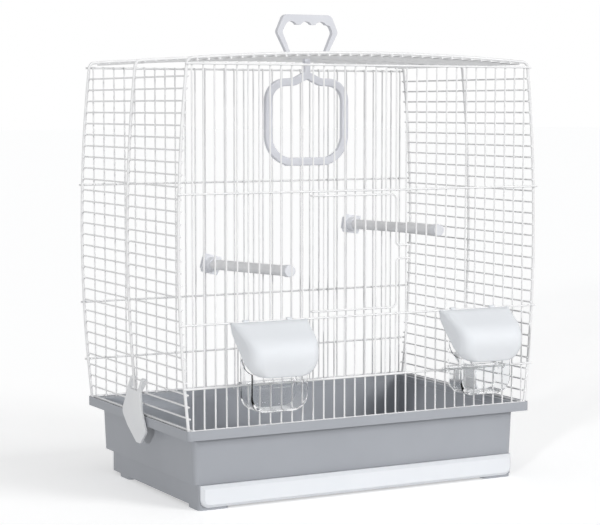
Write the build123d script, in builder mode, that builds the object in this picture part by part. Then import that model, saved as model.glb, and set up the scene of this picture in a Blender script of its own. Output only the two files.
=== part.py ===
from build123d import *
import os
from math import asin, atan, cos, degrees, radians, sin, sqrt

# A small-bird cage: a wire top seated on a plastic tray, with a pull-out drawer, a wire door, two
# outside feeders under hinged hoods, two perches, a swing, a carrying handle and two side latches.
# Millimetres. X runs to the right, Y to the back, Z up. The origin is on the floor, mid cage.

os.makedirs("parts", exist_ok=True)

# Clearances shared by every piece
weld_gap = 0.05
running_gap = 0.08
loose_gap = 0.3

# Wire sizes and spacings
wire_count = 33
wire_end_gap = 5.0
row_pitch = 12.3
row_count = 29
cage_depth = 260.8
wire_r = 0.9
rail_r = 1.1
rail_poke = 1.2
hoop_r = 1.6

# Hoops: bowed posts at the sides and a shallow arch on top
post_half = 205.0
post_bow = 10.3
arch_rise = 7.6
hoop_bend_r = 6.5

# Rails of the front and back panels, counted up from the bottom rail
feeder_sill = 43.0
feeder_head = 107.5
door_head = 239.0

# Tray: a drafted tub over a narrower band that houses the drawer
foot_height = 3.5
band_height = 22.5
tub_height = 56.9
tray_wall = 2.5
tray_floor = 2.5
tub_inset_x = 8.5
tub_inset_y = 8.0
tub_draft = 2.5
tub_corner_r = 5.0
band_inset = 5.0
band_front = 124.0
band_back = 103.0
rim_skirt = 8.4
rim_skirt_wall = 2.0
rim_top = 3.0
rim_lip = 1.6
rim_lip_wall = 1.25
rim_seat_gap = 0.2
rim_corner_r = 4.5
rebate_drop = 7.0
rebate_width = 1.0
rim_slot_y = (-28.5, -21.5)
foot_length = 35.0
foot_width = 28.0
foot_back_y = 71.0
foot_corner_r = 5.0
middle_foot_y = 0.0

# Drawer: a shallow pan with a bevelled face
drawer_side_gap = 0.4
drawer_wall = 2.0
drawer_floor = 1.8
drawer_face_thick = 5.2
drawer_face_drop = 0.5
drawer_face_side = 1.5
drawer_face_r = 9.0
drawer_face_bevel = 3.4

# Door: two bent frame wires and the upright bars welded behind them
door_wire_r = 1.1
door_hinge = 11
door_keeper = 20
door_bar_count = 7
door_gap_top = 3.6
door_gap_bottom = 5.7
door_edge_gap = 13.4
door_bend_r = 6.0
catch_upper = 180.0
catch_lower = 166.0
catch_bend_r = 4.0
catch_reach = 3.4

# Feeder openings and the cups that hang outside them
feeder_middles = (7, 27)
feeder_half_wires = 2
feeder_offset = -3.7
cup_width = 65.0
cup_depth = 26.5
cup_foot = 17.0
cup_front_top = 57.5
cup_side_top = 74.0
cup_side_dip = (4.0, 11.5)
cup_wall = 1.6
cup_base_thick = 2.6
cup_corner_r = 17.0
cup_front_r = 4.0
cup_hook_thick = 1.8
cup_hook_drop = 7.0
cup_ear_length = 8.0
cup_ear_height = 5.6
cup_ear_r = 2.0

# Feeder hoods: drop below the hinge rail, half width and reach of each section, then the rim's line
# down the sides, as reach and drop
hood_sections = (
    (0.0, 42.5, 3.6),
    (4.8, 42.0, 22.5),
    (11.6, 41.0, 33.5),
    (19.3, 39.8, 42.5),
    (29.0, 39.0, 46.5),
    (38.7, 38.6, 45.8),
    (47.0, 35.5, 43.6),
    (53.0, 27.5, 40.5),
)
hood_corner_r = 12.5
hood_corner_share = 0.8
hood_rim = ((-2.0, 7.0), (0.0, 10.0), (6.0, 20.0), (15.0, 30.0), (25.0, 40.0), (33.5, 48.0), (38.0, 53.5))
hood_wall = 1.8
hood_roof = 2.2
hood_rail_gap = 0.35
lug_steps = (-2.38, 1.62)
lug_width = 5.4
lug_wall = 1.6

# Perches: place among the back wires, height above the bottom rail, roll of the plate, rise of the bar
perch_spots = ((11.5, 144.0, -16.0, 2.1), (26.5, 185.5, -9.0, 1.1))
perch_bar_r = 5.75
perch_length = 192.0
perch_cap_length = 9.5
perch_cap_wall = 0.8
perch_cap_face = 1.4
perch_plate_width = 22.0
perch_plate_height = 22.0
perch_plate_thick = 2.4
perch_plate_r = 2.0
perch_boss_r = 9.0
perch_boss_length = 10.0
perch_socket_wall = 1.6
perch_socket_depth = 7.0
perch_stem_r = 4.2
perch_stem_poke = 1.2
perch_nut_width = 22.0
perch_nut_height = 15.0
perch_nut_thick = 2.6

# Swing: heights are below the arch that it hangs on
swing_half = 52.0
swing_drop = 120.5
swing_shoulder = 25.8
swing_waist_half = 17.0
swing_waist = 24.2
swing_apex = 16.0
swing_bar = 8.6
swing_thick = 6.0
swing_corner_r = 33.0
swing_shoulder_r = 25.0
swing_waist_r = 14.0
swing_apex_r = 5.0
swing_neck = 7.6
swing_neck_root = 4.0
swing_ring_wall = 2.6
swing_edge_r = 1.2

# Handle: heights are above the arch that it turns on
handle_ring_step = 1.5
handle_half = 38.0
handle_widest = 26.0
handle_top_half = 29.5
handle_top = 45.2
handle_leg_width = 6.6
handle_ankle_width = 4.2
handle_ring_width = 4.2
handle_ring_wall = 2.2
handle_thick = 6.0
handle_outer_r = 7.0
handle_inner_r = 5.0
ankle_r = 2.0
grip_hump = 11.0
grip_scallop = 7.5
grip_scallop_r = 8.0
grip_scallop_pitch = 18.5
grip_shift = -2.0

# Side latches: each is a leaf that hangs from two rings on a side wire and hooks under the rim
latch_row = 3
latch_rings_y = (7.5, -20.0)
latch_ring_width = 5.0
latch_ring_wall = 2.0
latch_thick = 2.6
latch_outline = (
    (-22.5, 26.5),
    (10.0, 26.5),
    (27.0, 0.0),
    (12.0, -14.0),
    (-12.0, -29.0),
    (-22.0, -29.0),
    (-37.0, -15.0),
    (-25.0, 6.0),
)
latch_outline_r = (2.0, 2.0, 8.0, 10.0, 5.0, 5.0, 4.0, 20.0)
latch_hook_y = (-20.0, -4.0)
latch_hook_reach = 6.0
latch_hook_thick = 2.4
latch_edge_r = 0.8

# Places worked out from the sizes above
step_z = foot_height + band_height
seat_z = step_z + tub_height
rail_base = seat_z + rail_r + weld_gap
panel_height = (row_count + 1) * row_pitch
panel_half = panel_height / 2
top_z = rail_base + panel_height
wire_y = cage_depth / 2
wire_pitch = 2 * (post_half - wire_end_gap) / (wire_count - 1)
tub_half_x = post_half - tub_inset_x
tub_half_y = wire_y - tub_inset_y
band_half_x = tub_half_x - band_inset
hoop_y = wire_y + wire_r - hoop_r
rail_y = wire_y + wire_r + rail_r + weld_gap
mid_index = (wire_count - 1) / 2
sill_z = rail_base + feeder_sill
head_z = rail_base + feeder_head
door_z = rail_base + door_head
wire_foot = seat_z + weld_gap
wire_top = top_z + rail_r

# Circles that the hoops follow, and the turns between them
post_r = (panel_half**2 + post_bow**2) / (2 * post_bow)
post_lean = asin(panel_half / post_r)
roof_r = (post_half**2 + arch_rise**2) / (2 * arch_rise)
roof_half = (post_half - hoop_bend_r * cos(post_lean)) / (1 - hoop_bend_r / roof_r)
roof_lean = asin(roof_half / roof_r)
bend_rise = hoop_bend_r * (cos(roof_lean) - sin(post_lean))
arch_top_z = top_z + bend_rise + roof_r * (1 - cos(roof_lean))
hoop_foot = wire_foot + hoop_r * sin(post_lean)
foot_lean = asin((rail_base + panel_half - hoop_foot) / post_r)


def wire_x(index):
    """Place of a front or back wire, counted from the left."""
    return (index - mid_index) * wire_pitch


def post_x(rise):
    """Half width between the posts' centre lines at a height above the bottom rail."""
    return post_half + post_bow - post_r + sqrt(post_r**2 - (rise - panel_half) ** 2)


def arch_z(x):
    """Height of the arches' centre line at a place across the cage."""
    return arch_top_z - roof_r + sqrt(roof_r**2 - x**2)


def save(part, name):
    part.label = name
    export_step(part, "parts/" + name + ".step")


# Tray: the rim seats the wire top inside its lip, and the band's front is open for the drawer
draft_inset = (tub_height - rim_top) * sin(radians(tub_draft))
base_half_x = tub_half_x - draft_inset
base_half_y = tub_half_y - draft_inset
inner_x = base_half_x - tray_wall
inner_y = base_half_y - tray_wall
inner_r = tub_corner_r - tray_wall
rim_half_x = post_half + hoop_r + rim_seat_gap + rim_lip_wall
rim_half_y = rail_y + rail_r + rim_seat_gap + rim_lip_wall
lip_x = rim_half_x - rim_lip_wall
lip_y = rim_half_y - rim_lip_wall
lip_r = rim_corner_r - rim_lip_wall
bay_half_x = band_half_x - tray_wall
bay_back = band_back - tray_wall
bay_floor_z = foot_height + tray_floor
bay_roof_z = step_z - tray_wall
ledge_z = step_z + tray_floor
rebate_z = seat_z - rebate_drop
rebate_widen = (rebate_z - ledge_z) * sin(radians(tub_draft)) + rebate_width

with BuildPart() as tray:
    with BuildSketch(Plane.XY.offset(step_z)):
        RectangleRounded(2 * base_half_x, 2 * base_half_y, tub_corner_r)
    extrude(amount=tub_height - rim_top, taper=-tub_draft)
    with BuildSketch(Plane.XY.offset(foot_height)):
        with Locations((0, (band_back - band_front) / 2)):
            RectangleRounded(2 * band_half_x, band_back + band_front, inner_r)
    extrude(amount=band_height)
    with BuildSketch(Plane.XY.offset(seat_z - rim_skirt)):
        RectangleRounded(2 * rim_half_x, 2 * rim_half_y, rim_corner_r)
        skirt_x = rim_half_x - rim_skirt_wall
        skirt_y = rim_half_y - rim_skirt_wall
        skirt_r = rim_corner_r - rim_skirt_wall
        RectangleRounded(2 * skirt_x, 2 * skirt_y, skirt_r, mode=Mode.SUBTRACT)
    extrude(amount=rim_skirt)
    with BuildSketch(Plane.XY.offset(seat_z - rim_top)):
        RectangleRounded(2 * rim_half_x, 2 * rim_half_y, rim_corner_r)
    extrude(amount=rim_top)
    with BuildSketch(Plane.XY.offset(seat_z)):
        RectangleRounded(2 * rim_half_x, 2 * rim_half_y, rim_corner_r)
        RectangleRounded(2 * lip_x, 2 * lip_y, lip_r, mode=Mode.SUBTRACT)
    extrude(amount=rim_lip)
    # slots in the skirt beside the latches
    with BuildSketch(Plane.XY.offset(seat_z - rim_skirt)):
        slot_length = rim_slot_y[1] - rim_slot_y[0]
        slot_x = rim_half_x - rim_skirt_wall / 2
        with Locations(*[(x, sum(rim_slot_y) / 2) for x in (-slot_x, slot_x)]):
            Rectangle(rim_skirt_wall, slot_length)
    extrude(amount=rim_skirt + rim_lip, mode=Mode.SUBTRACT)
    # inside of the tub, down to the ledge round the drawer
    with BuildSketch(Plane.XY.offset(ledge_z)):
        RectangleRounded(2 * inner_x, 2 * inner_y, inner_r)
    extrude(amount=tub_height, taper=-tub_draft, mode=Mode.SUBTRACT)
    # rebate round the inside, below the rim
    with BuildSketch(Plane.XY.offset(rebate_z)):
        RectangleRounded(2 * (inner_x + rebate_widen), 2 * (inner_y + rebate_widen), inner_r)
    extrude(amount=rebate_drop, mode=Mode.SUBTRACT)
    with BuildSketch(Plane.XY.offset(bay_floor_z)):
        with Locations((0, (bay_back - inner_y) / 2)):
            Rectangle(2 * bay_half_x, bay_back + inner_y)
    extrude(amount=ledge_z - bay_floor_z, mode=Mode.SUBTRACT)
    # mouth of the drawer bay
    with BuildSketch(Plane.XZ.offset(inner_y)):
        with Locations((0, (bay_floor_z + bay_roof_z) / 2)):
            Rectangle(2 * bay_half_x, bay_roof_z - bay_floor_z)
    extrude(amount=band_front - inner_y, mode=Mode.SUBTRACT)
    with BuildSketch():
        foot_x = band_half_x - foot_length / 2
        foot_front_y = foot_width / 2 - band_front
        with Locations(*[(x, y) for x in (-foot_x, foot_x) for y in (foot_front_y, foot_back_y)]):
            RectangleRounded(foot_length, foot_width, foot_corner_r)
        with Locations((0, middle_foot_y)):
            RectangleRounded(foot_length, foot_width, foot_corner_r)
    extrude(amount=foot_height)
save(tray.part, "tray")

# Drawer
drawer_z = bay_floor_z + loose_gap
drawer_half = bay_half_x - drawer_side_gap
drawer_back = bay_back - drawer_side_gap
face_back = band_front + loose_gap
face_half = band_half_x - drawer_face_side
face_foot = foot_height - drawer_face_drop
pan_height = bay_roof_z - loose_gap - drawer_z

with BuildPart() as drawer:
    with BuildSketch(Plane.XY.offset(drawer_z)):
        with Locations((0, (drawer_back - face_back) / 2)):
            Rectangle(2 * drawer_half, drawer_back + face_back)
    extrude(amount=pan_height)
    with BuildSketch(Plane.XY.offset(drawer_z + drawer_floor)):
        pan_back = drawer_back - drawer_wall
        pan_front = face_back - drawer_wall
        with Locations((0, (pan_back - pan_front) / 2)):
            Rectangle(2 * (drawer_half - drawer_wall), pan_back + pan_front)
    extrude(amount=pan_height, mode=Mode.SUBTRACT)
    with BuildSketch(Plane.XZ.offset(face_back)) as face:
        with Locations((0, (step_z + face_foot) / 2)):
            Rectangle(2 * face_half, step_z - face_foot)
        fillet(face.vertices().group_by(Axis.Y)[0], drawer_face_r)
    extrude(amount=drawer_face_thick)
    chamfer(drawer.faces().sort_by(Axis.Y)[0].edges(), drawer_face_bevel)
save(drawer.part, "drawer")


# Hoops: one bent wire each, down both sides and over the roof
def hoop(y):
    with BuildPart() as bent:
        with BuildLine(Plane.XZ.offset(-y)) as route:
            roof_turn = degrees(roof_lean)
            bend_turn = 90 - degrees(post_lean) - roof_turn
            post_turn = degrees(post_lean + foot_lean)
            arch = JernArc((0, arch_top_z), (1, 0), roof_r, -roof_turn)
            bend = JernArc(arch @ 1, arch % 1, hoop_bend_r, -bend_turn)
            JernArc(bend @ 1, bend % 1, post_r, -post_turn)
            mirror(about=Plane.YZ)
        path = route.wires()[0]
        with BuildSketch(Plane(origin=path @ 0, z_dir=path % 0)):
            Circle(hoop_r)
        sweep(path=path)
    return bent.part


for name, y in (("front_hoop", -hoop_y), ("middle_hoop", 0), ("back_hoop", hoop_y)):
    save(hoop(y), name)


# Rails: straight cross wires outside the upright wires, the lowest within the rim's lip
def rails(side):
    with BuildPart() as group:
        for rise in (0, feeder_sill, feeder_head, door_head, panel_height):
            half = post_x(rise) + hoop_r + rail_poke if rise else lip_x - lip_r
            with BuildSketch(Plane.YZ.offset(-half)):
                with Locations((side * rail_y, rail_base + rise)):
                    Circle(rail_r)
            extrude(amount=2 * half)
    return group.part


save(rails(-1), "front_rails")
save(rails(1), "back_rails")


# Upright wires: full height, or in pieces above and below the door and the feeder openings
def uprights(y, spans):
    with BuildPart() as group:
        for low, high, indices in spans:
            with BuildSketch(Plane.XY.offset(low)):
                with Locations(*[(wire_x(index), y) for index in indices]):
                    Circle(wire_r)
            extrude(amount=high - low)
    return group.part


door_cut = set(range(door_hinge + 1, door_keeper))
feeder_steps = range(-feeder_half_wires, feeder_half_wires + 1)
feeder_cut = {middle + step for middle in feeder_middles for step in feeder_steps}
whole = set(range(wire_count)) - door_cut - feeder_cut
front_spans = (
    (wire_foot, wire_top, whole),
    (wire_foot, head_z + rail_r, door_cut),
    (door_z - rail_r, wire_top, door_cut),
    (wire_foot, sill_z + rail_r, feeder_cut),
    (head_z - rail_r, wire_top, feeder_cut),
)
save(uprights(-wire_y, front_spans), "front_wires")
save(uprights(wire_y, ((wire_foot, wire_top, range(wire_count)),)), "back_wires")


# Side wires: level rows from front to back, inside the posts
def side_rows(side, rows, radius):
    with BuildPart() as group:
        with BuildSketch(Plane.XZ.offset(-wire_y - wire_r)):
            inset = hoop_r + radius + weld_gap
            rises = [row * row_pitch for row in rows]
            with Locations(*[(side * (post_x(rise) - inset), rail_base + rise) for rise in rises]):
                Circle(radius)
        extrude(amount=2 * (wire_y + wire_r))
    return group.part


for name, side in (("left", -1), ("right", 1)):
    save(side_rows(side, range(1, row_count + 1), wire_r), name + "_side_wires")
    save(side_rows(side, (0,), rail_r), name + "_bottom_rail")

# Roof wires: rows from front to back, under the arches and half a pitch off the uprights
with BuildPart() as roof_wires:
    with BuildSketch(Plane.XZ.offset(-wire_y - wire_r)):
        roof_spots = []
        for index in range(wire_count - 1):
            x = wire_x(index + 0.5)
            drop = (hoop_r + wire_r + weld_gap) / cos(asin(x / roof_r))
            roof_spots.append((x, arch_z(x) - drop))
        with Locations(*roof_spots):
            Circle(wire_r)
    extrude(amount=2 * (wire_y + wire_r))
save(roof_wires.part, "roof_wires")

# Door: each frame wire runs from a hinge loop, round a corner and out to a catch on the keeper wire
hinge_x = wire_x(door_hinge)
loop_r = wire_r + running_gap + door_wire_r
door_y = -wire_y - loop_r
door_top = door_z - rail_r - door_gap_top
door_foot = head_z + rail_r + door_gap_bottom
door_edge = wire_x(door_keeper) - door_edge_gap
catch_x = wire_x(door_keeper) + catch_reach


def door_frame_wire(bar_z, end_z):
    with BuildPart() as bent:
        with BuildLine(Plane.XZ.offset(-door_y)) as route:
            FilletPolyline(
                (hinge_x, bar_z),
                (door_edge, bar_z),
                (door_edge, end_z),
                (catch_x, end_z),
                radius=[door_bend_r, catch_bend_r],
            )
        path = route.wires()[0]
        with BuildSketch(Plane(origin=path @ 0, z_dir=path % 0)):
            Circle(door_wire_r)
        sweep(path=path)
        with BuildSketch(Plane.XZ.offset(wire_y)):
            with Locations((hinge_x - loop_r, bar_z)):
                Circle(door_wire_r)
        revolve(axis=Axis((hinge_x, -wire_y, bar_z), (0, 0, 1)))
    return bent.part


save(door_frame_wire(door_top, rail_base + catch_upper), "door_upper_frame")
save(door_frame_wire(door_foot, rail_base + catch_lower), "door_lower_frame")

with BuildPart() as door_wires:
    bar_y = door_y + door_wire_r + wire_r + weld_gap
    bar_foot = door_foot - door_wire_r
    with BuildSketch(Plane.XY.offset(bar_foot)):
        bars = range(door_hinge + 1, door_hinge + 1 + door_bar_count)
        with Locations(*[(wire_x(index), bar_y) for index in bars]):
            Circle(wire_r)
    extrude(amount=door_top + door_wire_r - bar_foot)
save(door_wires.part, "door_wires")

# Feeder cup: a clear tub that hooks over the sill rail, with sides that rise towards the wires
cup_back = -rail_y - rail_r - loose_gap
cup_front = cup_back - cup_depth
cup_z = rail_base + cup_foot
cup_top_z = rail_base + cup_side_top
cup_front_z = rail_base + cup_front_top
cup_inner = cup_width / 2 - cup_wall
hook_z = sill_z + rail_r + loose_gap
hook_back = -wire_y + wire_r + loose_gap


def feeder_cup(centre):
    with BuildPart() as cup:
        with BuildSketch(Plane.XZ.offset(-cup_back)) as outer:
            with Locations((centre, cup_z)):
                Rectangle(cup_width, cup_top_z - cup_z, align=(Align.CENTER, Align.MIN))
            fillet(outer.vertices().group_by(Axis.Y)[0], cup_corner_r)
        extrude(amount=cup_depth)
        fillet(cup.edges().filter_by(Axis.Z).group_by(Axis.Y)[0], cup_front_r)
        with BuildSketch(Plane.XZ.offset(-cup_back + cup_wall)) as inner:
            with Locations((centre, cup_z + cup_base_thick)):
                Rectangle(2 * cup_inner, cup_top_z - cup_z, align=(Align.CENTER, Align.MIN))
            fillet(inner.vertices().group_by(Axis.Y)[0], cup_corner_r - cup_wall)
        extrude(amount=cup_depth - 2 * cup_wall, mode=Mode.SUBTRACT)
        # low back wall, and the sloped top edges of the sides
        with BuildSketch(Plane.XZ.offset(-cup_back)):
            with Locations((centre, hook_z + cup_hook_thick)):
                Rectangle(2 * cup_inner, cup_top_z - hook_z, align=(Align.CENTER, Align.MIN))
        extrude(amount=cup_wall, mode=Mode.SUBTRACT)
        with BuildSketch(Plane.YZ.offset(centre - cup_width / 2)):
            with BuildLine():
                steep, flat = cup_side_dip
                Bezier(
                    (cup_front, cup_front_z),
                    (cup_back - flat, cup_front_z),
                    (cup_back - steep, cup_front_z + steep),
                    (cup_back, cup_top_z),
                )
                Polyline((cup_back, cup_top_z), (cup_front, cup_top_z), (cup_front, cup_front_z))
            make_face()
        extrude(amount=cup_width, mode=Mode.SUBTRACT)
        # hook over the sill rail and down behind the cut wires
        with BuildSketch(Plane.YZ.offset(centre - cup_inner)):
            with BuildLine():
                Polyline(
                    (cup_back - cup_wall, hook_z),
                    (hook_back, hook_z),
                    (hook_back, hook_z - cup_hook_drop),
                    (hook_back + cup_hook_thick, hook_z - cup_hook_drop),
                    (hook_back + cup_hook_thick, hook_z + cup_hook_thick),
                    (cup_back - cup_wall, hook_z + cup_hook_thick),
                    close=True,
                )
            make_face()
        extrude(amount=2 * cup_inner)
        # ears beside the cup that lie on the sill rail
        for way in (-1, 1):
            with BuildSketch(Plane.XZ.offset(-cup_back)):
                ear_end = centre + way * (cup_width / 2 + cup_ear_length)
                with Locations((ear_end - way * cup_ear_length, sill_z)):
                    RectangleRounded(2 * cup_ear_length, cup_ear_height, cup_ear_r)
                with Locations((centre, sill_z)):
                    Rectangle(2 * cup_inner, cup_ear_height, mode=Mode.SUBTRACT)
            extrude(amount=cup_hook_thick)
    return cup.part


# Hood: a boxy visor that hangs from the head rail on two rings, open to the back and below
hood_back = -wire_y - wire_r - loose_gap
hood_half = max(half for drop, half, reach in hood_sections)


def hood_section(centre, z, half, reach, back):
    with BuildSketch(Plane.XY.offset(z)) as section:
        with Locations((centre, back)):
            depth = reach + back - hood_back
            Rectangle(2 * half, depth, align=(Align.CENTER, Align.MAX))
        corner_r = min(hood_corner_r, hood_corner_share * reach)
        fillet(section.vertices().group_by(Axis.Y)[0], corner_r)
    return section.sketch


def feeder_hood(centre, lugs):
    outer = []
    inner = []
    for drop, half, reach in hood_sections:
        z = head_z - drop
        inner_back = hood_back + hood_roof
        outer.append(hood_section(centre, z, half, reach, hood_back))
        inner.append(hood_section(centre, z - hood_roof, half - hood_wall, reach - hood_wall, inner_back))
    with BuildPart() as hood:
        loft(outer)
        loft(inner, mode=Mode.SUBTRACT)
        # slanted rim of the sides
        with BuildSketch(Plane.YZ.offset(centre)):
            with BuildLine():
                rim_points = [(hood_back - reach, head_z - drop) for reach, drop in hood_rim]
                Spline(*rim_points)
                Polyline(
                    rim_points[-1],
                    (rim_points[-1][0], rim_points[-1][1] - hood_roof),
                    (rim_points[0][0], rim_points[-1][1] - hood_roof),
                    rim_points[0],
                )
            make_face()
        extrude(amount=hood_half + hood_wall, both=True, mode=Mode.SUBTRACT)
        with BuildSketch(Plane.YZ.offset(centre)):
            with Locations((-rail_y, head_z)):
                Circle(rail_r + hood_rail_gap)
        extrude(amount=hood_half + hood_wall, both=True, mode=Mode.SUBTRACT)
        for lug_x in lugs:
            with BuildSketch(Plane.YZ.offset(lug_x - lug_width / 2)):
                with Locations((-rail_y, head_z)):
                    Circle(rail_r + running_gap + lug_wall)
                    Circle(rail_r + running_gap, mode=Mode.SUBTRACT)
            extrude(amount=lug_width)
    return hood.part


for name, middle in zip(("left", "right"), feeder_middles):
    feeder_x = wire_x(middle) + feeder_offset
    save(feeder_cup(feeder_x), name + "_feeder_cup")
    lug_places = [wire_x(middle + step) for step in lug_steps]
    save(feeder_hood(feeder_x, lug_places), name + "_feeder_hood")

# Perches: a bracket inside the back wires, a nut behind them, and a capped bar in the bracket
plate_y = wire_y - wire_r - weld_gap
nut_y = wire_y + wire_r + weld_gap
collar_r = perch_bar_r + perch_socket_wall
bar_start = perch_boss_length - perch_socket_depth
cap_start = bar_start + perch_length + weld_gap + perch_cap_face - perch_cap_length


def perch(name, index, rise, roll, tilt):
    x = wire_x(index)
    z = rail_base + rise
    turned = (cos(radians(roll)), 0, sin(radians(roll)))
    wall_plane = Plane(origin=(x, plate_y, z), x_dir=turned, z_dir=(0, -1, 0))
    nut_plane = Plane(origin=(x, nut_y, z), x_dir=turned, z_dir=(0, 1, 0))
    ahead = Vector(0, -cos(radians(tilt)), sin(radians(tilt)))
    boss_origin = Vector(x, plate_y - perch_plate_thick / 2, z)
    boss_plane = Plane(origin=boss_origin, x_dir=(1, 0, 0), z_dir=ahead)
    boss_taper = degrees(atan((perch_boss_r - collar_r) / perch_boss_length))

    with BuildPart() as bracket:
        with BuildSketch(wall_plane):
            RectangleRounded(perch_plate_width, perch_plate_height, perch_plate_r)
        extrude(amount=perch_plate_thick)
        with BuildSketch(boss_plane):
            Circle(perch_boss_r)
        extrude(amount=perch_boss_length, taper=boss_taper)
        with BuildSketch(boss_plane.offset(bar_start - weld_gap)):
            Circle(perch_bar_r + weld_gap)
        extrude(amount=perch_socket_depth + weld_gap, mode=Mode.SUBTRACT)
        with BuildSketch(wall_plane):
            Circle(perch_stem_r)
        extrude(amount=-(nut_y - plate_y + perch_nut_thick + perch_stem_poke))
    save(bracket.part, name + "_perch_bracket")

    with BuildPart() as bar:
        with BuildSketch(boss_plane.offset(bar_start)):
            Circle(perch_bar_r)
        extrude(amount=perch_length)
    save(bar.part, name + "_perch_bar")

    with BuildPart() as cap:
        with BuildSketch(boss_plane.offset(cap_start)):
            Circle(perch_bar_r + perch_cap_wall)
        extrude(amount=perch_cap_length)
        fillet(cap.edges().sort_by(Axis.Y)[0], perch_cap_wall)
        with BuildSketch(boss_plane.offset(cap_start)):
            Circle(perch_bar_r + weld_gap)
        extrude(amount=perch_cap_length - perch_cap_face, mode=Mode.SUBTRACT)
    save(cap.part, name + "_perch_cap")

    with BuildPart() as nut:
        with BuildSketch(nut_plane):
            RectangleRounded(perch_nut_width, perch_nut_height, perch_plate_r)
            Circle(perch_stem_r + weld_gap, mode=Mode.SUBTRACT)
        extrude(amount=perch_nut_thick)
    save(nut.part, name + "_perch_nut")


for name, spot in zip(("left", "right"), perch_spots):
    perch(name, *spot)

# Swing: a flat loop whose top rises to a peak, on a neck that rings the middle arch
swing_foot_z = arch_top_z - swing_drop
swing_shoulder_z = arch_top_z - swing_shoulder
swing_waist_z = arch_top_z - swing_waist
swing_apex_z = arch_top_z - swing_apex

with BuildPart() as swing:
    with BuildSketch(Plane.XZ.offset(-swing_thick / 2)) as loop:
        with BuildLine():
            right_side = (
                ((swing_half, swing_foot_z), swing_corner_r),
                ((swing_half, swing_shoulder_z), swing_shoulder_r),
                ((swing_waist_half, swing_waist_z), swing_waist_r),
            )
            left_side = [((-x, z), corner_r) for (x, z), corner_r in reversed(right_side)]
            corners = [*right_side, ((0, swing_apex_z), swing_apex_r), *left_side]
            radii = [corner_r for point, corner_r in corners]
            FilletPolyline(*[point for point, corner_r in corners], radius=radii, close=True)
        make_face()
        offset(amount=-swing_bar, mode=Mode.SUBTRACT)
        with Locations((0, swing_apex_z - swing_neck_root)):
            neck_length = swing_apex + swing_neck_root - hoop_r - running_gap
            Rectangle(swing_neck, neck_length, align=(Align.CENTER, Align.MIN))
    extrude(amount=swing_thick)
    fillet(swing.faces().filter_by(Axis.Y).edges(), swing_edge_r)
    with BuildSketch(Plane.YZ.offset(-swing_neck / 2)):
        with Locations((0, arch_top_z)):
            Circle(hoop_r + running_gap + swing_ring_wall)
            Circle(hoop_r + running_gap, mode=Mode.SUBTRACT)
    extrude(amount=swing_neck)
save(swing.part, "swing")

# Handle: a loop with a scalloped grip, on two rings round the middle arch, just outside two roof wires
handle_x = handle_ring_step * wire_pitch + wire_r + loose_gap + handle_ring_width / 2
handle_z = arch_z(handle_x)
handle_bore = hoop_r + running_gap
ankle_half = handle_ankle_width / 2

with BuildPart() as handle:
    with BuildSketch(Plane.XZ.offset(-handle_thick / 2)) as grip:
        with BuildLine():
            FilletPolyline(
                (-handle_x - ankle_half, handle_z),
                (handle_x + ankle_half, handle_z),
                (handle_half, handle_z + handle_widest),
                (handle_top_half, handle_z + handle_top),
                (-handle_top_half, handle_z + handle_top),
                (-handle_half, handle_z + handle_widest),
                radius=[ankle_r, ankle_r, handle_inner_r, handle_outer_r, handle_outer_r, handle_inner_r],
                close=True,
            )
        make_face()
        with BuildLine():
            FilletPolyline(
                (-handle_x + ankle_half, handle_z),
                (handle_x - ankle_half, handle_z),
                (handle_half - handle_leg_width, handle_z + handle_widest),
                (handle_top_half - ankle_half, handle_z + handle_top - grip_hump),
                (ankle_half - handle_top_half, handle_z + handle_top - grip_hump),
                (handle_leg_width - handle_half, handle_z + handle_widest),
                radius=[ankle_r, ankle_r, handle_inner_r, handle_inner_r, handle_inner_r, handle_inner_r],
                close=True,
            )
        make_face(mode=Mode.SUBTRACT)
        scallop_z = handle_z + handle_top - grip_scallop - grip_scallop_r
        with Locations(*[(grip_shift + step * grip_scallop_pitch, scallop_z) for step in (-1, 0, 1)]):
            Circle(grip_scallop_r, mode=Mode.SUBTRACT)
    extrude(amount=handle_thick)
    for ring_x in (-handle_x, handle_x):
        with BuildSketch(Plane.YZ.offset(ring_x - handle_ring_width / 2)):
            with Locations((0, handle_z)):
                Circle(handle_bore + handle_ring_wall)
        extrude(amount=handle_ring_width)
    with BuildSketch(Plane.YZ):
        with Locations((0, handle_z)):
            Circle(handle_bore)
    extrude(amount=handle_half, both=True, mode=Mode.SUBTRACT)
    # clear space between the rings, where roof wires pass when the handle is turned down
    ring_r = handle_bore + handle_ring_wall
    with BuildSketch(Plane.XZ.offset(-handle_thick / 2)):
        with Locations((0, handle_z)):
            Rectangle(2 * handle_x - handle_ring_width, 2 * ring_r)
    extrude(amount=handle_thick, mode=Mode.SUBTRACT)
save(handle.part, "handle")

# Latches
latch_axis_rise = latch_row * row_pitch
latch_axis_z = rail_base + latch_axis_rise
latch_axis_x = post_x(latch_axis_rise) - hoop_r - wire_r - weld_gap
latch_top = max(rise for y, rise in latch_outline)
latch_inner = max(rim_half_x, post_x(latch_top) + hoop_r) + loose_gap
latch_bore = wire_r + running_gap
hook_top_z = seat_z - rim_skirt - loose_gap


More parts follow.
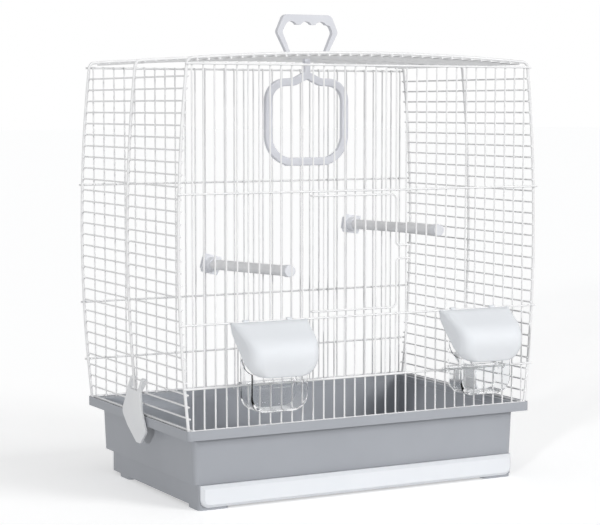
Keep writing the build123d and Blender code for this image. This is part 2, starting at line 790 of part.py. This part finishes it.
def latch(side):
    with BuildPart() as leaf:
        with BuildSketch(Plane.YZ.offset(side * latch_inner)):
            with BuildLine():
                corners = [(y, rail_base + rise) for y, rise in latch_outline]
                FilletPolyline(*corners, radius=list(latch_outline_r), close=True)
            make_face()
        extrude(amount=side * latch_thick)
        outer_face = leaf.faces().filter_by(Axis.X).sort_by(Axis.X)[max(side, 0) * -1]
        fillet(outer_face.edges(), latch_edge_r)
        for ring_y in latch_rings_y:
            with BuildSketch(Plane.XZ.offset(-ring_y - latch_ring_width / 2)):
                with Locations((side * latch_axis_x, latch_axis_z)):
                    Circle(latch_bore + latch_ring_wall)
                with Locations((side * (latch_inner + latch_thick / 2), rail_base + latch_top)):
                    Rectangle(latch_thick, latch_thick)
                make_hull()
                with Locations((side * latch_axis_x, latch_axis_z)):
                    Circle(latch_bore, mode=Mode.SUBTRACT)
            extrude(amount=latch_ring_width)
        with BuildSketch(Plane.YZ.offset(side * (latch_inner - latch_hook_reach))):
            with Locations((sum(latch_hook_y) / 2, hook_top_z)):
                hook_width = latch_hook_y[1] - latch_hook_y[0]
                Rectangle(hook_width, latch_hook_thick, align=(Align.CENTER, Align.MAX))
        extrude(amount=side * (latch_hook_reach + latch_thick / 2))
    return leaf.part


save(latch(-1), "left_latch")
save(latch(1), "right_latch")
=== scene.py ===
import math
import bmesh
import bpy
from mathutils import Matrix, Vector


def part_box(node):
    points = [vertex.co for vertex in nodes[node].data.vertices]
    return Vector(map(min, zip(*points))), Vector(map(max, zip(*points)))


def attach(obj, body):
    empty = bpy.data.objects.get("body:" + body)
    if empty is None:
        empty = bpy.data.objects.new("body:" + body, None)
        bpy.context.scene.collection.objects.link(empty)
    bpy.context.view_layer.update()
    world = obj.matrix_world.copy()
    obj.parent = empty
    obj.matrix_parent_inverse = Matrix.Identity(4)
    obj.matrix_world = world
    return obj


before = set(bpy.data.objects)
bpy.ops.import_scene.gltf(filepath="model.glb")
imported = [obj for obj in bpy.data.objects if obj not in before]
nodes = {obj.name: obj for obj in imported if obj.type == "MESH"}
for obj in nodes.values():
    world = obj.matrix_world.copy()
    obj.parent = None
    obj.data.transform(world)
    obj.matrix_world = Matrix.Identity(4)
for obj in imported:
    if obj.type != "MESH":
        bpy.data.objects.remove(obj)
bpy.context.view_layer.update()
scene = bpy.context.scene
mm = 0.001
print("frame loaded:", len(nodes), "nodes")


# screen colour 0-255 to the linear colour that a shader wants
def tone(red, green, blue):
    parts = [c / 255 for c in (red, green, blue)]
    return tuple(c / 12.92 if c <= 0.04045 else ((c + 0.055) / 1.055) ** 2.4 for c in parts) + (1.0,)


# camera, matched to the wire grid of the photograph: places in metres, lens and film in millimetres
cameraSetup = {
    "at": (-0.9794, -1.8102, 0.4094),
    "look": (-0.0081, 0.0, 0.23765),
    "lens": 111.27,
    "film": 36.0,
    "near": 0.05,
    "far": 50.0,
}

cameraData = bpy.data.cameras.new("camera")
cameraData.lens = cameraSetup["lens"]
cameraData.sensor_width = cameraSetup["film"]
cameraData.clip_start = cameraSetup["near"]
cameraData.clip_end = cameraSetup["far"]
camera = bpy.data.objects.new("camera", cameraData)
scene.collection.objects.link(camera)
camera.location = cameraSetup["at"]
sight = Vector(cameraSetup["look"]) - Vector(cameraSetup["at"])
camera.rotation_euler = sight.to_track_quat("-Z", "Y").to_euler()
scene.camera = camera
print("camera set")


# helpers for the finishes: all patterns lie in the piece's own coordinates
def startMaterial(name):
    material = bpy.data.materials.new(name)
    material.use_nodes = True
    tree = material.node_tree
    shader = tree.nodes["Principled BSDF"]
    place = tree.nodes.new("ShaderNodeTexCoord")
    return material, tree, shader, place.outputs["Object"]


def addNoise(tree, place, scale, detail=3.0, rough=0.5, stretch=None):
    if stretch:
        mapping = tree.nodes.new("ShaderNodeMapping")
        mapping.inputs["Scale"].default_value = stretch
        tree.links.new(place, mapping.inputs["Vector"])
        place = mapping.outputs["Vector"]
    noise = tree.nodes.new("ShaderNodeTexNoise")
    noise.inputs["Scale"].default_value = scale
    noise.inputs["Detail"].default_value = detail
    noise.inputs["Roughness"].default_value = rough
    tree.links.new(place, noise.inputs["Vector"])
    return noise.outputs["Fac"]


# a cloud that runs from one colour to another, between two values of the noise
def addCloud(tree, value, low, deep, high, light):
    ramp = tree.nodes.new("ShaderNodeValToRGB")
    bar = ramp.color_ramp.elements
    bar[0].position, bar[0].color = low, deep
    bar[1].position, bar[1].color = high, light
    tree.links.new(value, ramp.inputs["Fac"])
    return ramp.outputs["Color"]


def addRange(tree, value, low, high):
    reach = tree.nodes.new("ShaderNodeMapRange")
    reach.inputs["To Min"].default_value = low
    reach.inputs["To Max"].default_value = high
    tree.links.new(value, reach.inputs["Value"])
    return reach.outputs["Result"]


def addBump(tree, shader, height, distance, strength):
    bump = tree.nodes.new("ShaderNodeBump")
    bump.inputs["Distance"].default_value = distance
    bump.inputs["Strength"].default_value = strength
    tree.links.new(height, bump.inputs["Height"])
    tree.links.new(bump.outputs["Normal"], shader.inputs["Normal"])


# plastic coat on the wire, a little uneven along its length
wireFinish = {
    "light": tone(236, 236, 236),
    "deep": tone(227, 227, 228),
    "patch": 70.0,
    "peel": 1400.0,
    "peelHeight": 0.00006,
    "rough": (0.3, 0.46),
    "coat": 0.2,
}


def makeWireCoat():
    look = wireFinish
    material, tree, shader, place = startMaterial("powderCoatedWire")
    patch = addNoise(tree, place, look["patch"], 4.0)
    colour = addCloud(tree, patch, 0.3, look["deep"], 0.7, look["light"])
    tree.links.new(colour, shader.inputs["Base Color"])
    peel = addNoise(tree, place, look["peel"], 2.0)
    tree.links.new(addRange(tree, peel, *look["rough"]), shader.inputs["Roughness"])
    addBump(tree, shader, peel, look["peelHeight"], 0.5)
    shader.inputs["Coat Weight"].default_value = look["coat"]
    shader.inputs["Coat Roughness"].default_value = 0.2
    return material


# moulded plastics. patch: scale of the cloudy colour; grain and depth: the mould's surface, in metres deep;
# sheen: how much light the surface throws back; soft: how much light goes into the wall and out again
plastics = {
    "mouldedGreyTray": {
        "light": tone(163, 166, 172), "deep": tone(157, 160, 166), "patch": 9.0,
        "rough": 0.42, "grain": 2200.0, "depth": 0.00005, "sheen": 0.5, "soft": 0.0,
    },
    "hoodWhite": {
        "light": tone(231, 234, 238), "deep": tone(228, 231, 235), "patch": 14.0,
        "rough": 0.55, "grain": 900.0, "depth": 0.00001, "sheen": 0.25, "soft": 0.35,
    },
    "latchWhite": {
        "light": tone(234, 235, 236), "deep": tone(229, 230, 232), "patch": 20.0,
        "rough": 0.45, "grain": 900.0, "depth": 0.00001, "sheen": 0.5, "soft": 0.0,
    },
    "drawerWhite": {
        "light": tone(229, 231, 235), "deep": tone(225, 228, 232), "patch": 12.0,
        "rough": 0.4, "grain": 1500.0, "depth": 0.00002, "sheen": 0.5, "soft": 0.0,
    },
    "ribbedPerchGrey": {
        "light": tone(237, 237, 238), "deep": tone(226, 226, 228), "patch": 60.0,
        "rough": 0.5, "grain": 900.0, "depth": 0.00006, "sheen": 0.5, "soft": 0.0,
    },
    "bracketWhite": {
        "light": tone(234, 235, 239), "deep": tone(224, 226, 231), "patch": 30.0,
        "rough": 0.4, "grain": 1200.0, "depth": 0.00003, "sheen": 0.5, "soft": 0.0,
    },
    "swingLavender": {
        "light": tone(220, 221, 227), "deep": tone(213, 214, 221), "patch": 24.0,
        "rough": 0.4, "grain": 1100.0, "depth": 0.00002, "sheen": 0.5, "soft": 0.0,
    },
    "handleLavender": {
        "light": tone(213, 214, 219), "deep": tone(207, 208, 214), "patch": 24.0,
        "rough": 0.4, "grain": 1100.0, "depth": 0.00002, "sheen": 0.5, "soft": 0.0,
    },
}


# cloudy colour, faint flow marks in the gloss and a fine grain
def makePlastic(name):
    look = plastics[name]
    material, tree, shader, place = startMaterial(name)
    cloud = addNoise(tree, place, look["patch"], 5.0, 0.55)
    colour = addCloud(tree, cloud, 0.32, look["deep"], 0.68, look["light"])
    tree.links.new(colour, shader.inputs["Base Color"])
    flow = addNoise(tree, place, look["patch"] * 2, 2.0, 0.4, (1.0, 1.0, 3.0))
    rough = addRange(tree, flow, look["rough"] - 0.02, look["rough"] + 0.03)
    tree.links.new(rough, shader.inputs["Roughness"])
    addBump(tree, shader, addNoise(tree, place, look["grain"], 1.0), look["depth"], 0.35)
    shader.inputs["Specular IOR Level"].default_value = look["sheen"]
    shader.inputs["Subsurface Weight"].default_value = look["soft"]
    shader.inputs["Subsurface Radius"].default_value = (1.0, 1.0, 1.0)
    shader.inputs["Subsurface Scale"].default_value = 0.006
    return material


clearFinish = {
    "light": tone(254, 254, 254),
    "deep": tone(249, 250, 251),
    "patch": 40.0,
    "flow": 60.0,
    "flowHeight": 0.0003,
    "rough": (0.02, 0.08),
    "bend": 1.2,
}


def makeClear():
    look = clearFinish
    material, tree, shader, place = startMaterial("clearPolystyrene")
    cloud = addNoise(tree, place, look["patch"], 3.0)
    colour = addCloud(tree, cloud, 0.3, look["deep"], 0.7, look["light"])
    tree.links.new(colour, shader.inputs["Base Color"])
    flow = addNoise(tree, place, look["flow"], 2.0)
    tree.links.new(addRange(tree, flow, *look["rough"]), shader.inputs["Roughness"])
    addBump(tree, shader, flow, look["flowHeight"], 0.3)
    shader.inputs["Transmission Weight"].default_value = 1.0
    shader.inputs["IOR"].default_value = look["bend"]
    return material


wireCoat = makeWireCoat()
clearCup = makeClear()
moulded = {name: makePlastic(name) for name in plastics}

finishes = {"tray": moulded["mouldedGreyTray"], "drawer": moulded["drawerWhite"]}
finishes["swing"] = moulded["swingLavender"]
finishes["handle"] = moulded["handleLavender"]
for side in ("left", "right"):
    finishes[side + "_latch"] = moulded["latchWhite"]
    finishes[side + "_feeder_hood"] = moulded["hoodWhite"]
    finishes[side + "_feeder_cup"] = clearCup
    finishes[side + "_perch_bar"] = moulded["ribbedPerchGrey"]
    for part in ("bracket", "cap", "nut"):
        finishes[side + "_perch_" + part] = moulded["bracketWhite"]
for name, node in nodes.items():
    for slot in node.material_slots:
        slot.material = finishes.get(name, wireCoat)
print("finishes given to", len(nodes), "nodes")

# small round-overs on the moulded pieces, in millimetres, where faces meet at more than the angle
softEdges = {
    "tray": 0.5,
    "drawer": 0.5,
    "handle": 1.3,
    "left_latch": 0.4,
    "right_latch": 0.4,
    "left_feeder_hood": 0.5,
    "right_feeder_hood": 0.5,
}
roundOver = {"join": 0.01, "steps": 3, "angle": 40.0}


def softenEdges(node, width):
    joint = node.modifiers.new("joinFaces", "WELD")
    joint.merge_threshold = roundOver["join"] * mm
    bevel = node.modifiers.new("roundOver", "BEVEL")
    bevel.width = width * mm
    bevel.segments = roundOver["steps"]
    bevel.limit_method = "ANGLE"
    bevel.angle_limit = math.radians(roundOver["angle"])
    bevel.harden_normals = True


for name, width in softEdges.items():
    softenEdges(nodes[name], width)
print("edges softened on", len(softEdges), "nodes")


def addPiece(name, bm, material, body):
    mesh = bpy.data.meshes.new(name)
    bm.to_mesh(mesh)
    bm.free()
    mesh.materials.append(material)
    piece = bpy.data.objects.new(name, mesh)
    scene.collection.objects.link(piece)
    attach(piece, body)


# the box of each separate wire in a node, as its middle, low corner and high corner
def wireBoxes(name):
    bm = bmesh.new()
    bm.from_mesh(nodes[name].data)
    bmesh.ops.remove_doubles(bm, verts=bm.verts, dist=0.001 * mm)
    boxes = []
    waiting = set(bm.verts)
    while waiting:
        wave = [waiting.pop()]
        low = wave[0].co.copy()
        high = wave[0].co.copy()
        while wave:
            vert = wave.pop()
            low = Vector(map(min, low, vert.co))
            high = Vector(map(max, high, vert.co))
            near = [edge.other_vert(vert) for edge in vert.link_edges]
            fresh = [other for other in near if other in waiting]
            waiting.difference_update(fresh)
            wave.extend(fresh)
        boxes.append(((low + high) / 2, low, high))
    bm.free()
    boxes.sort(key=lambda box: tuple(box[0]))  # the same order in every run
    return boxes


# weld beads where wires cross: half sizes in millimetres, the flat one along the crossing.
# turn: how far the unevenness shifts from bead to bead; doorInset: how far from the bars' ends they sit
beadShape = {"wide": 1.7, "flat": 0.75, "uneven": 0.12, "turn": 1.7, "doorInset": 1.1}


def addBead(bm, spot, flatAxis, turn):
    for vert in bmesh.ops.create_icosphere(bm, subdivisions=2, radius=1.0)["verts"]:
        swell = 1 + beadShape["uneven"] * math.sin(5 * vert.co.x + turn) * math.cos(4 * vert.co.z - turn)
        size = [beadShape["wide"] * mm * swell] * 3
        size[flatAxis] = beadShape["flat"] * mm
        vert.co = Vector(co * s for co, s in zip(vert.co, size)) + spot


def makeBeads(name, body, spots, flatAxis):
    bm = bmesh.new()
    for count, spot in enumerate(spots):
        addBead(bm, spot, flatAxis, count * beadShape["turn"])
    for face in bm.faces:
        face.smooth = True
    addPiece(name, bm, wireCoat, body)


def panelSpots(railNode, wireNode):
    wires = wireBoxes(wireNode)
    rails = [middle for middle, low, high in wireBoxes(railNode)]
    spots = []
    for rail in rails:
        for wire, low, high in wires:
            if low.z < rail.z < high.z:
                spots.append(Vector((wire.x, (wire.y + rail.y) / 2, rail.z)))
    return spots


alongX, alongY, alongZ = range(3)
hoopNames = ("front_hoop", "middle_hoop", "back_hoop")
hoopPlaces = [sum(corner[alongY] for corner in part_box(name)) / 2 for name in hoopNames]
makeBeads("frontPanelWelds", "cage", panelSpots("front_rails", "front_wires"), alongY)
makeBeads("backPanelWelds", "cage", panelSpots("back_rails", "back_wires"), alongY)
for side, way in (("left", -1), ("right", 1)):
    rows = wireBoxes(side + "_side_wires") + wireBoxes(side + "_bottom_rail")
    sideSpots = []
    for row, low, high in rows:
        outside = way * max(abs(low.x), abs(high.x))
        sideSpots.extend(Vector((outside, y, row.z)) for y in hoopPlaces)
    makeBeads(side + "SideWelds", "cage", sideSpots, alongX)
roofRows = wireBoxes("roof_wires")
roofSpots = [Vector((row.x, y, high.z)) for row, low, high in roofRows for y in hoopPlaces]
makeBeads("roofWelds", "cage", roofSpots, alongZ)
doorBars = wireBoxes("door_wires")
doorSpots = []
for bar, low, high in doorBars:
    inset = beadShape["doorInset"] * mm
    doorSpots.extend(Vector((bar.x, low.y, z)) for z in (low.z + inset, high.z - inset))
makeBeads("doorWelds", "door", doorSpots, alongY)
print("weld beads laid on", len(roofRows), "roof wires and", len(doorBars), "door bars")


# how far the surface stands out of the bar at a step along its ribs
def ribSwell(shape, step):
    wave = abs(math.sin(math.pi * step / shape["steps"]))
    return (shape["proud"] - shape["depth"] * (1 - wave)) * mm


# skin over a row of rings, smooth along the sides and flat at both ends
def skinRings(bm, rings):
    for one, two in zip(rings, rings[1:]):
        for count in range(len(one)):
            after = (count + 1) % len(one)
            bm.faces.new((one[count], one[after], two[after], two[count]))
    bm.faces.new(rings[0])
    bm.faces.new(rings[-1])
    bmesh.ops.recalc_face_normals(bm, faces=bm.faces)
    for face in bm.faces:
        face.smooth = len(face.verts) == 4


# ribbed sleeves on the perches, in millimetres: start and stop are kept bare at the two ends of the bar
sleeveShape = {
    "proud": 0.12, "depth": 0.22, "pitch": 2.3, "steps": 6,
    "start": 8.4, "stop": 9.2, "sides": 40, "endRing": 0.6,
}


# middle of the bar's end face that lies furthest one way along Y
def endMiddle(node, way):
    places = [vert.co for vert in node.data.vertices]
    edge = max(way * place.y for place in places)
    ring = [place for place in places if way * place.y > edge - sleeveShape["endRing"] * mm]
    return sum(ring, Vector()) / len(ring)


def makeSleeve(side):
    shape = sleeveShape
    node = nodes[side + "_perch_bar"]
    back = endMiddle(node, 1)
    front = endMiddle(node, -1)
    lowX, highX = (corner[alongX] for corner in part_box(side + "_perch_bar"))
    along = (front - back).normalized()
    across = Vector((1, 0, 0))
    upward = across.cross(along)
    start = back + along * shape["start"] * mm
    length = (front - back).length - (shape["start"] + shape["stop"]) * mm
    stations = round(length / (shape["pitch"] * mm)) * shape["steps"]
    bm = bmesh.new()
    rings = []
    for station in range(stations + 1):
        radius = (highX - lowX) / 2 + ribSwell(shape, station)
        centre = start + along * length * station / stations
        ring = []
        for count in range(shape["sides"]):
            angle = 2 * math.pi * count / shape["sides"]
            outward = across * math.cos(angle) + upward * math.sin(angle)
            ring.append(bm.verts.new(centre + outward * radius))
        rings.append(ring)
    skinRings(bm, rings)
    addPiece(side + "PerchSleeve", bm, moulded["ribbedPerchGrey"], "cage")


for side in ("left", "right"):
    makeSleeve(side)
print("perch sleeves ribbed")

# fine ribs round the swing's lower bar, for the bird's feet, in millimetres: half is half their length.
# barHeight and openHeight are heights above the swing's foot, within the bar and in the loop above it
gripShape = {
    "proud": 0.2, "depth": 0.32, "pitch": 1.8, "steps": 6,
    "half": 27.0, "corner": 1.6, "turns": 5, "barHeight": 3.0, "openHeight": 20.0,
}


def barOutline(halfDeep, halfTall, swell):
    corner = gripShape["corner"] * mm
    outline = []
    for count, (sideY, sideZ) in enumerate(((1, 1), (-1, 1), (-1, -1), (1, -1))):
        for turn in range(gripShape["turns"]):
            angle = math.pi / 2 * (count + turn / (gripShape["turns"] - 1))
            y = sideY * (halfDeep - corner) + math.cos(angle) * (corner + swell)
            z = sideZ * (halfTall - corner) + math.sin(angle) * (corner + swell)
            outline.append((y, z))
    return outline


def makeSwingGrip():
    shape = gripShape
    node = nodes["swing"]
    places = [vert.co for vert in node.data.vertices]
    foot = min(place.z for place in places)
    halfDeep = max(place.y for place in places if place.z < foot + shape["barHeight"] * mm)
    openSpot = Vector((0, 0, foot + shape["openHeight"] * mm))
    barTop = node.ray_cast(openSpot, Vector((0, 0, -1)))[1]
    halfTall = (barTop.z - foot) / 2
    stations = round(2 * shape["half"] / shape["pitch"]) * shape["steps"]
    bm = bmesh.new()
    rings = []
    for station in range(stations + 1):
        x = (2 * station / stations - 1) * shape["half"] * mm
        outline = barOutline(halfDeep, halfTall, ribSwell(shape, station))
        rings.append([bm.verts.new((x, y, foot + halfTall + z)) for y, z in outline])
    skinRings(bm, rings)
    addPiece("swingGrip", bm, moulded["swingLavender"], "swing")


makeSwingGrip()
print("swing bar ribbed")

# floor: white paper that keeps the shadow, with a lift for the camera, reflections and clear plastic
floorLook = {"size": 60.0, "white": tone(240, 240, 240), "lift": 0.42, "rough": 0.9}


# 1 where the camera, a reflection or a look through clear plastic meets the surface
def addSeen(tree):
    path = tree.nodes.new("ShaderNodeLightPath")
    first = tree.nodes.new("ShaderNodeMath")
    first.operation = "MAXIMUM"
    second = tree.nodes.new("ShaderNodeMath")
    second.operation = "MAXIMUM"
    tree.links.new(path.outputs["Is Camera Ray"], first.inputs[0])
    tree.links.new(path.outputs["Is Glossy Ray"], first.inputs[1])
    tree.links.new(first.outputs[0], second.inputs[0])
    tree.links.new(path.outputs["Is Transmission Ray"], second.inputs[1])
    return second.outputs[0]


def makeFloor():
    half = floorLook["size"] / 2
    corners = [(-half, -half, 0), (half, -half, 0), (half, half, 0), (-half, half, 0)]
    mesh = bpy.data.meshes.new("floor")
    mesh.from_pydata(corners, [], [(0, 1, 2, 3)])
    floor = bpy.data.objects.new("floor", mesh)
    scene.collection.objects.link(floor)
    material, tree, shader = startMaterial("palePaper")[:3]
    shader.inputs["Roughness"].default_value = floorLook["rough"]
    shader.inputs["Specular IOR Level"].default_value = 0.0
    shader.inputs["Base Color"].default_value = floorLook["white"]
    shader.inputs["Emission Color"].default_value = (1.0, 1.0, 1.0, 1.0)
    lift = tree.nodes.new("ShaderNodeMath")
    lift.operation = "MULTIPLY"
    lift.inputs[1].default_value = floorLook["lift"]
    tree.links.new(addSeen(tree), lift.inputs[0])
    tree.links.new(lift.outputs[0], shader.inputs["Emission Strength"])
    mesh.materials.append(material)


makeFloor()
print("floor laid")

# room: soft fill for the object, plain white for the camera, reflections and clear plastic
roomLook = {"fill": 0.34, "fillColour": (0.98, 0.99, 1.0, 1.0), "white": 1.0}


def makeRoom():
    world = bpy.data.worlds.new("room")
    scene.world = world
    world.use_nodes = True
    tree = world.node_tree
    tree.nodes.clear()
    out = tree.nodes.new("ShaderNodeOutputWorld")
    lit = tree.nodes.new("ShaderNodeBackground")
    lit.inputs["Color"].default_value = roomLook["fillColour"]
    lit.inputs["Strength"].default_value = roomLook["fill"]
    shown = tree.nodes.new("ShaderNodeBackground")
    shown.inputs["Color"].default_value = (1.0, 1.0, 1.0, 1.0)
    shown.inputs["Strength"].default_value = roomLook["white"]
    mix = tree.nodes.new("ShaderNodeMixShader")
    tree.links.new(addSeen(tree), mix.inputs["Fac"])
    tree.links.new(lit.outputs[0], mix.inputs[1])
    tree.links.new(shown.outputs[0], mix.inputs[2])
    tree.links.new(mix.outputs[0], out.inputs["Surface"])


makeRoom()
print("room lit")

# turn: degrees from straight in front, to the right; rise: degrees above the floor
lamps = {
    "keyLamp": {"turn": -49.0, "rise": 11.0, "strength": 1.2, "spread": 4.0},
    "fillLamp": {"turn": 34.0, "rise": 22.0, "strength": 1.5, "spread": 24.0},
    "topLamp": {"turn": 10.0, "rise": 74.0, "strength": 0.2, "spread": 60.0},
}
for name, lamp in lamps.items():
    data = bpy.data.lights.new(name, "SUN")
    data.energy = lamp["strength"]
    data.angle = math.radians(lamp["spread"])
    holder = bpy.data.objects.new(name, data)
    scene.collection.objects.link(holder)
    turn = math.radians(lamp["turn"])
    rise = math.radians(lamp["rise"])
    level = math.cos(rise)
    away = Vector((math.sin(turn) * level, -math.cos(turn) * level, math.sin(rise)))
    holder.location = away
    holder.rotation_euler = (-away).to_track_quat("-Z", "Y").to_euler()
print("lamps placed:", len(lamps))

scene.view_settings.view_transform = "Standard"
